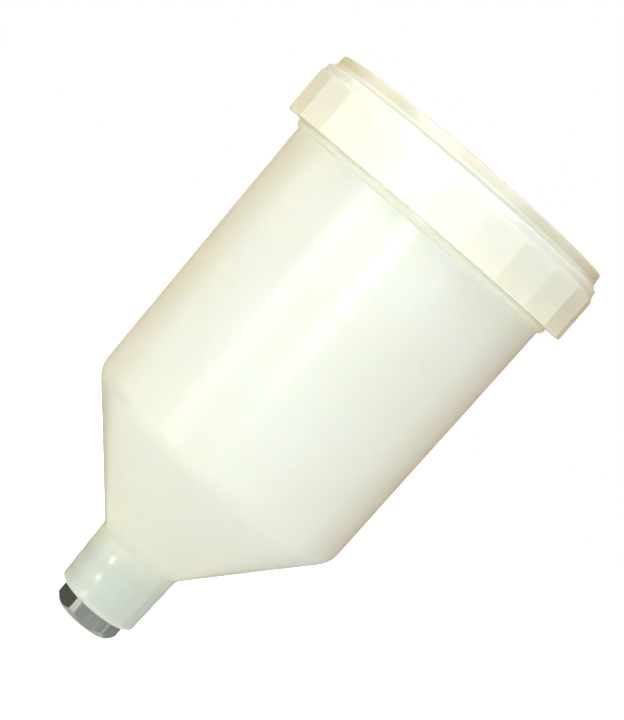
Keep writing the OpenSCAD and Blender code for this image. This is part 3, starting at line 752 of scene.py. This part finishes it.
flange_z, plug_z, drain_r = chamber_z - 1.2, chamber_z + 1.4, 1.1
baffle = turn("drip_insert", rounded([(0, flange_z, 0), (chamber_out_r, flange_z, 0.3),
                                      (chamber_out_r, chamber_z, 0.1), (chamber_r, chamber_z, 0),
                                      (chamber_r, plug_z, 0.25), (0, plug_z, 0)]), even_angles(144))
for i in range(3):
    rib = block((seat_r, -0.5, plug_z - 0.4), (chamber_r - 0.5, 0.5, disc_z - 0.02), 0.15)
    combine(baffle, shifted(rib, 0, math.radians(120 * i)), "UNION")
for i in range(6):
    hole = turn("hole", [Vector(p) for p in (
        (0, flange_z - 1), (drain_r, flange_z - 1), (drain_r, disc_z), (0, disc_z))], even_angles(32))
    hole.data.transform(Matrix.Rotation(math.radians(60 * i + 30), 4, "Z")
                        @ Matrix.Translation(((chamber_r + seat_r) / 2 * MM, 0, 0)))
    combine(baffle, hole, "DIFFERENCE")
dress(baffle, baffle_plastic, "screw_lid", "drip_baffle")

# %% [markdown]
# ## The vent cap
#
# A small knob snaps over the spigot in the middle of the lid. Twelve round grooves give it grip and a
# slot takes a coin. The grooves are worked into the radius by rule, like the flats of the lid, and
# the slot and the air port are cut out.

# %% Turn the vent cap
grip_r, grip_out, grips = 0.6, cap_r + 0.25, 12
slot_half_len, slot_half_w, slot_depth = 3.25, 0.7, 0.8


def cap_rule(r, z, angle):
    """Round grip grooves in the cap's outer wall."""
    if r < cap_r - 1.2 or z > cap_top_z - 0.001 and r < cap_r - 0.9:
        return r, z
    off = abs((angle * grips / (2 * math.pi)) % 1 - 0.5) * 2 * math.pi / grips
    depth = grip_r ** 2 - (grip_out * math.sin(off)) ** 2
    groove_r = grip_out * math.cos(off) - math.sqrt(depth) if depth > 0 else cap_r
    return min(r, groove_r), z


bore_r = spigot_r + 0.08
cap_section = rounded([
    (bore_r, cap_z, 0.1), (cap_r, cap_z, 0.3), (cap_r, cap_top_z, 0.7), (0, cap_top_z, 0),
    (0, spigot_top_z + 0.1, 0), (bore_r, spigot_top_z + 0.1, 0.05), (bore_r, snap_z + 0.6, 0),
    (bore_r + 0.25, snap_z, 0.15), (bore_r, snap_z - 0.6, 0)])
vent_cap = turn("vent_cap_knob", finer(cap_section, 0.8), even_angles(288), cap_rule)
slot = block((-slot_half_len, -slot_half_w, cap_top_z - slot_depth),
             (slot_half_len, slot_half_w, cap_top_z + 0.5), 0.12)
combine(vent_cap, slot, "DIFFERENCE")
combine(vent_cap, shifted(drill("cap_port", port_r, 9.0), port_z), "DIFFERENCE")
dress(vent_cap, cap_plastic, "vent_knob", "vent_cap")

# %% [markdown]
# ## The strainer
#
# The strainer stands in the neck and keeps dried paint out of the gun. Its frame is a moulded tube
# with twelve windows between four ribs and two hoops, a foot, and a cap with a tab to lift it by.
# The windows are cut with a block for each quarter, since the ribs have straight sides.

# %% Mould the strainer's frame
foot_z, foot_top_z = insert_top_z + 0.02, insert_top_z + 7.42
strainer_top_z = foot_z + 50
strainer_cap_z = strainer_top_z - 2.4
gauze_r0, gauze_r1, rib_out_r, foot_bore_r, foot_r = 7.85, 8.25, 9.35, 7.55, 9.65
strainer = turn("strainer_cage", finer(rounded([
    (foot_bore_r, foot_z, 0.3), (foot_r, foot_z, 0.4), (foot_r, foot_top_z, 0.4), (rib_out_r, foot_top_z, 0),
    (rib_out_r, strainer_top_z, 0.6), (0, strainer_top_z, 0), (0, strainer_cap_z, 0),
    (gauze_r1, strainer_cap_z, 0), (gauze_r1, foot_top_z - 1.6, 0),
    (foot_bore_r, foot_top_z - 1.6, 0)]), 4.0),
    even_angles(144))
bay = (strainer_cap_z - foot_top_z) / 3
for i in range(4):
    for k in range(3):
        low_z = foot_top_z + bay * k + (0.7 if k else 0)
        high_z = foot_top_z + bay * (k + 1) - (0.7 if k < 2 else 0)
        window = block((1.2, 1.2, low_z), (14, 14, high_z), 0.35)
        combine(strainer, shifted(window, 0, math.radians(90 * i)), "DIFFERENCE")
tab = block((-6.28, -0.9, strainer_top_z - 0.4), (6.28, 0.9, strainer_top_z + 8), 0.3)
combine(strainer, tab, "UNION")
eye = drill("eye", 2.0, 4.0, 48)
eye.data.transform(Matrix.Translation((0, 0, (strainer_top_z + 4) * MM))
                   @ Matrix.Rotation(math.pi / 2, 4, "Z") @ Matrix.Translation((-2 * MM, 0, 0)))
combine(strainer, eye, "DIFFERENCE")
dress(strainer, strainer_plastic, "strainer", "strainer_frame")

# %% [markdown]
# ## Woven gauze with Geometry Nodes
#
# The sleeve is plain-woven nylon thread: upright threads pass over and under the hoops by turns. One
# wavy hoop and one wavy upright are enough. The tree repeats the hoop up the sleeve, turned by one
# thread each time so that the waves change sides, and the upright round it, raised by one hoop each
# time. The real mesh is finer than a picture can show, so it is drawn as coarse as it needs to show.


# %% Gauze tree
def gauze_tree():
    """A woven sleeve of round threads, from its radius, height and numbers of threads."""
    tree, given = start_tree("woven_sleeve", ("Radius", "Bottom", "Height", "Thread Radius", "Wave"),
                             ("Uprights", "Hoops"))
    spacing = add(tree, "ShaderNodeMath", (given["Height"], given["Hoops"]), operation="DIVIDE")
    half_spacing = add(tree, "ShaderNodeMath", (spacing, 0.5), operation="MULTIPLY")
    step = add(tree, "ShaderNodeMath", (2 * math.pi, given["Uprights"]), operation="DIVIDE")
    section = add(tree, "GeometryNodeCurvePrimitiveCircle", {
        "Resolution": 5, "Radius": given["Thread Radius"]})
    index = add(tree, "GeometryNodeInputIndex")
    turn_by_one = add(tree, "ShaderNodeCombineXYZ", {
        "Z": add(tree, "ShaderNodeMath", (index, step), operation="MULTIPLY")})
    quarter_turns = add(tree, "ShaderNodeMath", (index, math.pi / 2), operation="MULTIPLY")

    # One hoop, which crosses an upright at every second point, outside one and inside the next.
    points = add(tree, "ShaderNodeMath", (given["Uprights"], 2.0), operation="MULTIPLY")
    circle = add(tree, "GeometryNodeCurvePrimitiveCircle", {"Resolution": points, "Radius": given["Radius"]})
    swing = add(tree, "ShaderNodeMath", (quarter_turns,), operation="COSINE")
    swing = add(tree, "ShaderNodeMath", (swing, given["Wave"]), operation="MULTIPLY")
    place = add(tree, "GeometryNodeInputPosition")
    outward = add(tree, "ShaderNodeVectorMath", (place,), operation="NORMALIZE")
    offset = add(tree, "ShaderNodeVectorMath", {0: outward, "Scale": swing}, operation="SCALE")
    hoop = add(tree, "GeometryNodeSetPosition", {"Geometry": circle, "Offset": offset})
    hoop = add(tree, "GeometryNodeCurveToMesh", {"Curve": hoop, "Profile Curve": section})

    # The hoop again at each level, turned by one thread more each time.
    first_z = add(tree, "ShaderNodeMath", (given["Bottom"], half_spacing), operation="ADD")
    levels = add(tree, "GeometryNodeMeshLine", {
        "Count": given["Hoops"], "Start Location": add(tree, "ShaderNodeCombineXYZ", {"Z": first_z}),
        "Offset": add(tree, "ShaderNodeCombineXYZ", {"Z": spacing})})
    hoops = add(tree, "GeometryNodeInstanceOnPoints", {"Points": levels, "Instance": hoop,
                                                       "Rotation": turn_by_one})

    # One upright, which crosses a hoop at every second point, inside one and outside the next.
    points = add(tree, "ShaderNodeMath", (given["Hoops"], 2.0), operation="MULTIPLY")
    line = add(tree, "GeometryNodeMeshLine", {
        "Count": add(tree, "ShaderNodeMath", (points, 1.0), operation="ADD"),
        "Start Location": add(tree, "ShaderNodeCombineXYZ", {"X": given["Radius"]}),
        "Offset": add(tree, "ShaderNodeCombineXYZ", {"Z": half_spacing})})
    sway = add(tree, "ShaderNodeMath", (quarter_turns,), operation="SINE")
    sway = add(tree, "ShaderNodeMath", (sway, given["Wave"]), operation="MULTIPLY")
    inward = add(tree, "ShaderNodeMath", (sway, -1.0), operation="MULTIPLY")
    wavy = add(tree, "GeometryNodeSetPosition", {
        "Geometry": line, "Offset": add(tree, "ShaderNodeCombineXYZ", {"X": inward})})
    upright = add(tree, "GeometryNodeMeshToCurve", {"Mesh": wavy})
    upright = add(tree, "GeometryNodeCurveToMesh", {"Curve": upright, "Profile Curve": section,
                                                    "Fill Caps": True})

    # The upright again round the sleeve, every second one raised by one hoop.
    centre = add(tree, "GeometryNodeMeshLine", {"Count": given["Uprights"], "Offset": (0, 0, 0)})
    odd = add(tree, "ShaderNodeMath", (index, 2.0), operation="MODULO")
    lift = add(tree, "ShaderNodeMath", (odd, spacing), operation="MULTIPLY")
    base = add(tree, "ShaderNodeMath", (given["Bottom"], lift), operation="ADD")
    raised = add(tree, "GeometryNodeSetPosition", {
        "Geometry": centre, "Offset": add(tree, "ShaderNodeCombineXYZ", {"Z": base})})
    uprights = add(tree, "GeometryNodeInstanceOnPoints", {"Points": raised, "Instance": upright,
                                                          "Rotation": turn_by_one})
    woven = add(tree, "GeometryNodeJoinGeometry", (hoops,))
    set_inputs(tree, woven, (uprights,))
    return end_tree(tree, woven, given["Material"])


woven_sleeve = gauze_tree()
print("gauze inputs:", ", ".join(tree_inputs(woven_sleeve)))

# %% Weave the gauze
gauze_z, gauze_r = foot_top_z - 1.5, (gauze_r0 + gauze_r1) / 2
gauze = from_tree("gauze_sleeve", woven_sleeve, radius=gauze_r * MM, bottom=gauze_z * MM,
                  height=(strainer_cap_z - gauze_z) * MM, thread_radius=0.11 * MM, wave=0.09 * MM,
                  uprights=48, hoops=40, material=gauze_thread)
dress(gauze, gauze_thread, "strainer", "strainer_mesh", 80)

# %% [markdown]
# ## Floor and background
#
# The picture's ground is plain white. The floor lies well below the cup, which stands in the air as
# if its gun thread held it, so it touches nothing. A white floor could be had with more light, but
# that would bleach the cup. So its paint glows instead, for rays that look at it and not as a lamp:
# weakly near the cup, where its soft shadow stays, and nearly white farther out. The world does the
# same: white where it is looked at, and a dim warm fill as a lamp.

# %% Floor
def plain_sheet(name, place, inputs):
    """A square of one metre, set in its place, whose paint has no gloss, with its paint's tree and shader."""
    mesh = bmesh.new()
    bmesh.ops.create_grid(mesh, x_segments=1, y_segments=1, size=0.5)
    mesh.transform(place)
    made = new_object(name, mesh)
    paint, tree, shader, coords = start_material(name + "_paint", {
        "Roughness": 0.9, "Specular IOR Level": 0.0, **inputs})
    made.data.materials.append(paint)
    return made, tree, shader, coords


def seen_rays(tree):
    """1 for the rays that look at something: the camera's, reflected ones and refracted ones."""
    rays = add(tree, "ShaderNodeLightPath").outputs
    either = add(tree, "ShaderNodeMath", (rays["Is Camera Ray"], rays["Is Glossy Ray"]), operation="MAXIMUM")
    return add(tree, "ShaderNodeMath", (either, rays["Is Transmission Ray"]), operation="MAXIMUM")


floor_z, floor_size_m = -150, 9
tree, shader, coords = plain_sheet(
    "floor", Matrix.Translation((0, 0, floor_z * MM)) @ Matrix.Scale(floor_size_m, 4),
    {"Base Color": colour("#f4f4f2"), "Emission Color": colour("#f6faff")})[1:]
away = add(tree, "ShaderNodeVectorMath", (coords,), operation="LENGTH").outputs["Value"]
glow = add(tree, "ShaderNodeMapRange", {"Value": away, "From Min": 0.3, "From Max": 0.8, "To Min": 0.32,
                                       "To Max": 0.95})
glow = add(tree, "ShaderNodeMath", (glow, seen_rays(tree)), operation="MULTIPLY")
set_inputs(tree, shader, {"Emission Strength": glow})
print("floor", -floor_z, "mm below the cup")

# %% World
world = bpy.data.worlds.new("white_room")
scene.world = world
world.use_nodes = True
tree = world.node_tree
seen = seen_rays(tree)
tint = add(tree, "ShaderNodeMix", {0: seen, 6: colour("#ffeecd"), 7: colour("#ffffff")}, data_type="RGBA")
level = add(tree, "ShaderNodeMapRange", {"Value": seen, "To Min": 0.32, "To Max": 1.0})
set_inputs(tree, tree.nodes["Background"], {"Color": tint.outputs[2], "Strength": level})
print("world:", world.name)

# %% [markdown]
# ## Cards
#
# Glossy things take their look from what they reflect, so a studio stands coloured board just
# outside the picture. Here such a card is seen by reflections only. A dark one and a grey one give
# the connector's flats their tones, and a sand-coloured one the corner between them. Warm ones at the
# sides turn the plastic's edges beige, and an olive one dims the left edge of the neck.

# %% Stand the cards
def card(name, bearing_deg, distance, height, size, hex_value):
    """A card in mm that faces the axis and shows its colour as it is; bearing 0 is the camera's side."""
    made = plain_sheet(
        name, Matrix.Rotation(math.radians(bearing_deg), 4, "Z")
        @ Matrix.Translation(Vector((0, -distance, height)) * MM) @ Matrix.Rotation(math.radians(90), 4, "X")
        @ Matrix.Diagonal((size[0] * MM, size[1] * MM, 1, 1)),
        {"Base Color": colour("#000000"), "Emission Color": colour(hex_value), "Emission Strength": 1.0})[0]
    made.visible_camera = made.visible_diffuse = made.visible_shadow = made.visible_transmission = False
    return made


cards = [card("dark_card", -102, 230, -62, (150, 120), "#2f2c23"),
         card("grey_card", 30, 260, -70, (620, 120), "#b2b8b3"),
         card("teal_card", 138, 260, -70, (200, 130), "#b0c1bf"),
         card("corner_card", -44, 470, -130, (170, 38), "#e0c690"),
         card("olive_card", -136, 300, -102, (420, 95), "#8f8a6c"),
         card("warm_card_left", -136, 330, 80, (450, 440), "#d6be8c"),
         card("warm_card_right", 136, 330, 80, (450, 440), "#b0825a")]
print("cards:", [piece.name for piece in cards])

# %% [markdown]
# ## Lamps
#
# The lamps come in two sets, so that tone and shine can be set apart. The fills are broad, light the
# plastic from all sides and leave no reflection. Their total is a plain level, at which a colour
# renders about as it is written. The others are seen in reflections only, as a photographer's
# softboxes are on kitchen ware: three tall gleams whiten the lid's skirt, two strips draw the soft
# streaks down the barrel, and a small glint draws the row of spots on the neck. The glint would also
# burn a spot into the metal, so light linking keeps it off, as a flag on a stand would.

# %% Softboxes
def softbox(name, bearing_deg, distance, height, size, watts, tilt_deg, lights, hex_value="#ffffff"):
    """An area lamp in mm that faces the axis and tilts down, and only fills (diffuse) or shines (glossy)."""
    lamp = bpy.data.lights.new(name, "AREA")
    lamp.shape = "RECTANGLE"
    lamp.size, lamp.size_y = size[0] * MM, size[1] * MM
    lamp.energy, lamp.color = watts, colour(hex_value)[:3]
    made = bpy.data.objects.new(name, lamp)
    scene.collection.objects.link(made)
    made.matrix_world = (Matrix.Rotation(math.radians(bearing_deg), 4, "Z")
                         @ Matrix.Translation(Vector((0, -distance, height)) * MM)
                         @ Matrix.Rotation(math.radians(90 - tilt_deg), 4, "X"))
    made.visible_camera = False
    made.visible_glossy, made.visible_diffuse = lights == "glossy", lights == "diffuse"
    return made


fill_out, aim_z = 1200, 150
for side, bearing, height, watts, hex_value in (
        ("left", -55, 320, 5.6, "#fff6e6"), ("front", 5, 150, 6.7, "#cfe7ff"),
        ("right", 55, 150, 3.4, "#fff6e6"), ("back", 180, 150, 7.0, "#ffffff")):
    tilt_deg = math.degrees(math.atan((height - aim_z) / fill_out))
    softbox("fill_" + side, bearing, fill_out, height, (900, 900), watts, tilt_deg, "diffuse", hex_value)
softbox("fill_top", 0, 560, 1150, (800, 800), 5.0, 62, "diffuse", "#ecf3ff")
softbox("fill_above", 0, 0, 1300, (600, 600), 2.4, 90, "diffuse", "#fff8ee")

# %% Lamps for the reflections
for side, bearing, watts, hex_value in (
        ("left", -90, 7.5, "#fffaf0"), ("front", -30, 21.0, "#f0f4ff"), ("right", 22, 13.5, "#eaf0ff")):
    softbox("lid_gleam_" + side, bearing, 900, 625, (800, 1140), watts, 30, "glossy", hex_value)
softbox("strip_left", -42, 800, 150, (90, 420), 0.64, 0, "glossy")
softbox("strip_front", -4, 900, 112, (80, 110), 0.9, 0, "glossy")
glint = softbox("neck_glint", -38, 500, -80, (74, 48), 0.13, 0, "glossy")
flagged = bpy.data.collections.new("neck_glint_lights")
flagged.objects.link(cup)
glint.light_linking.receiver_collection = flagged
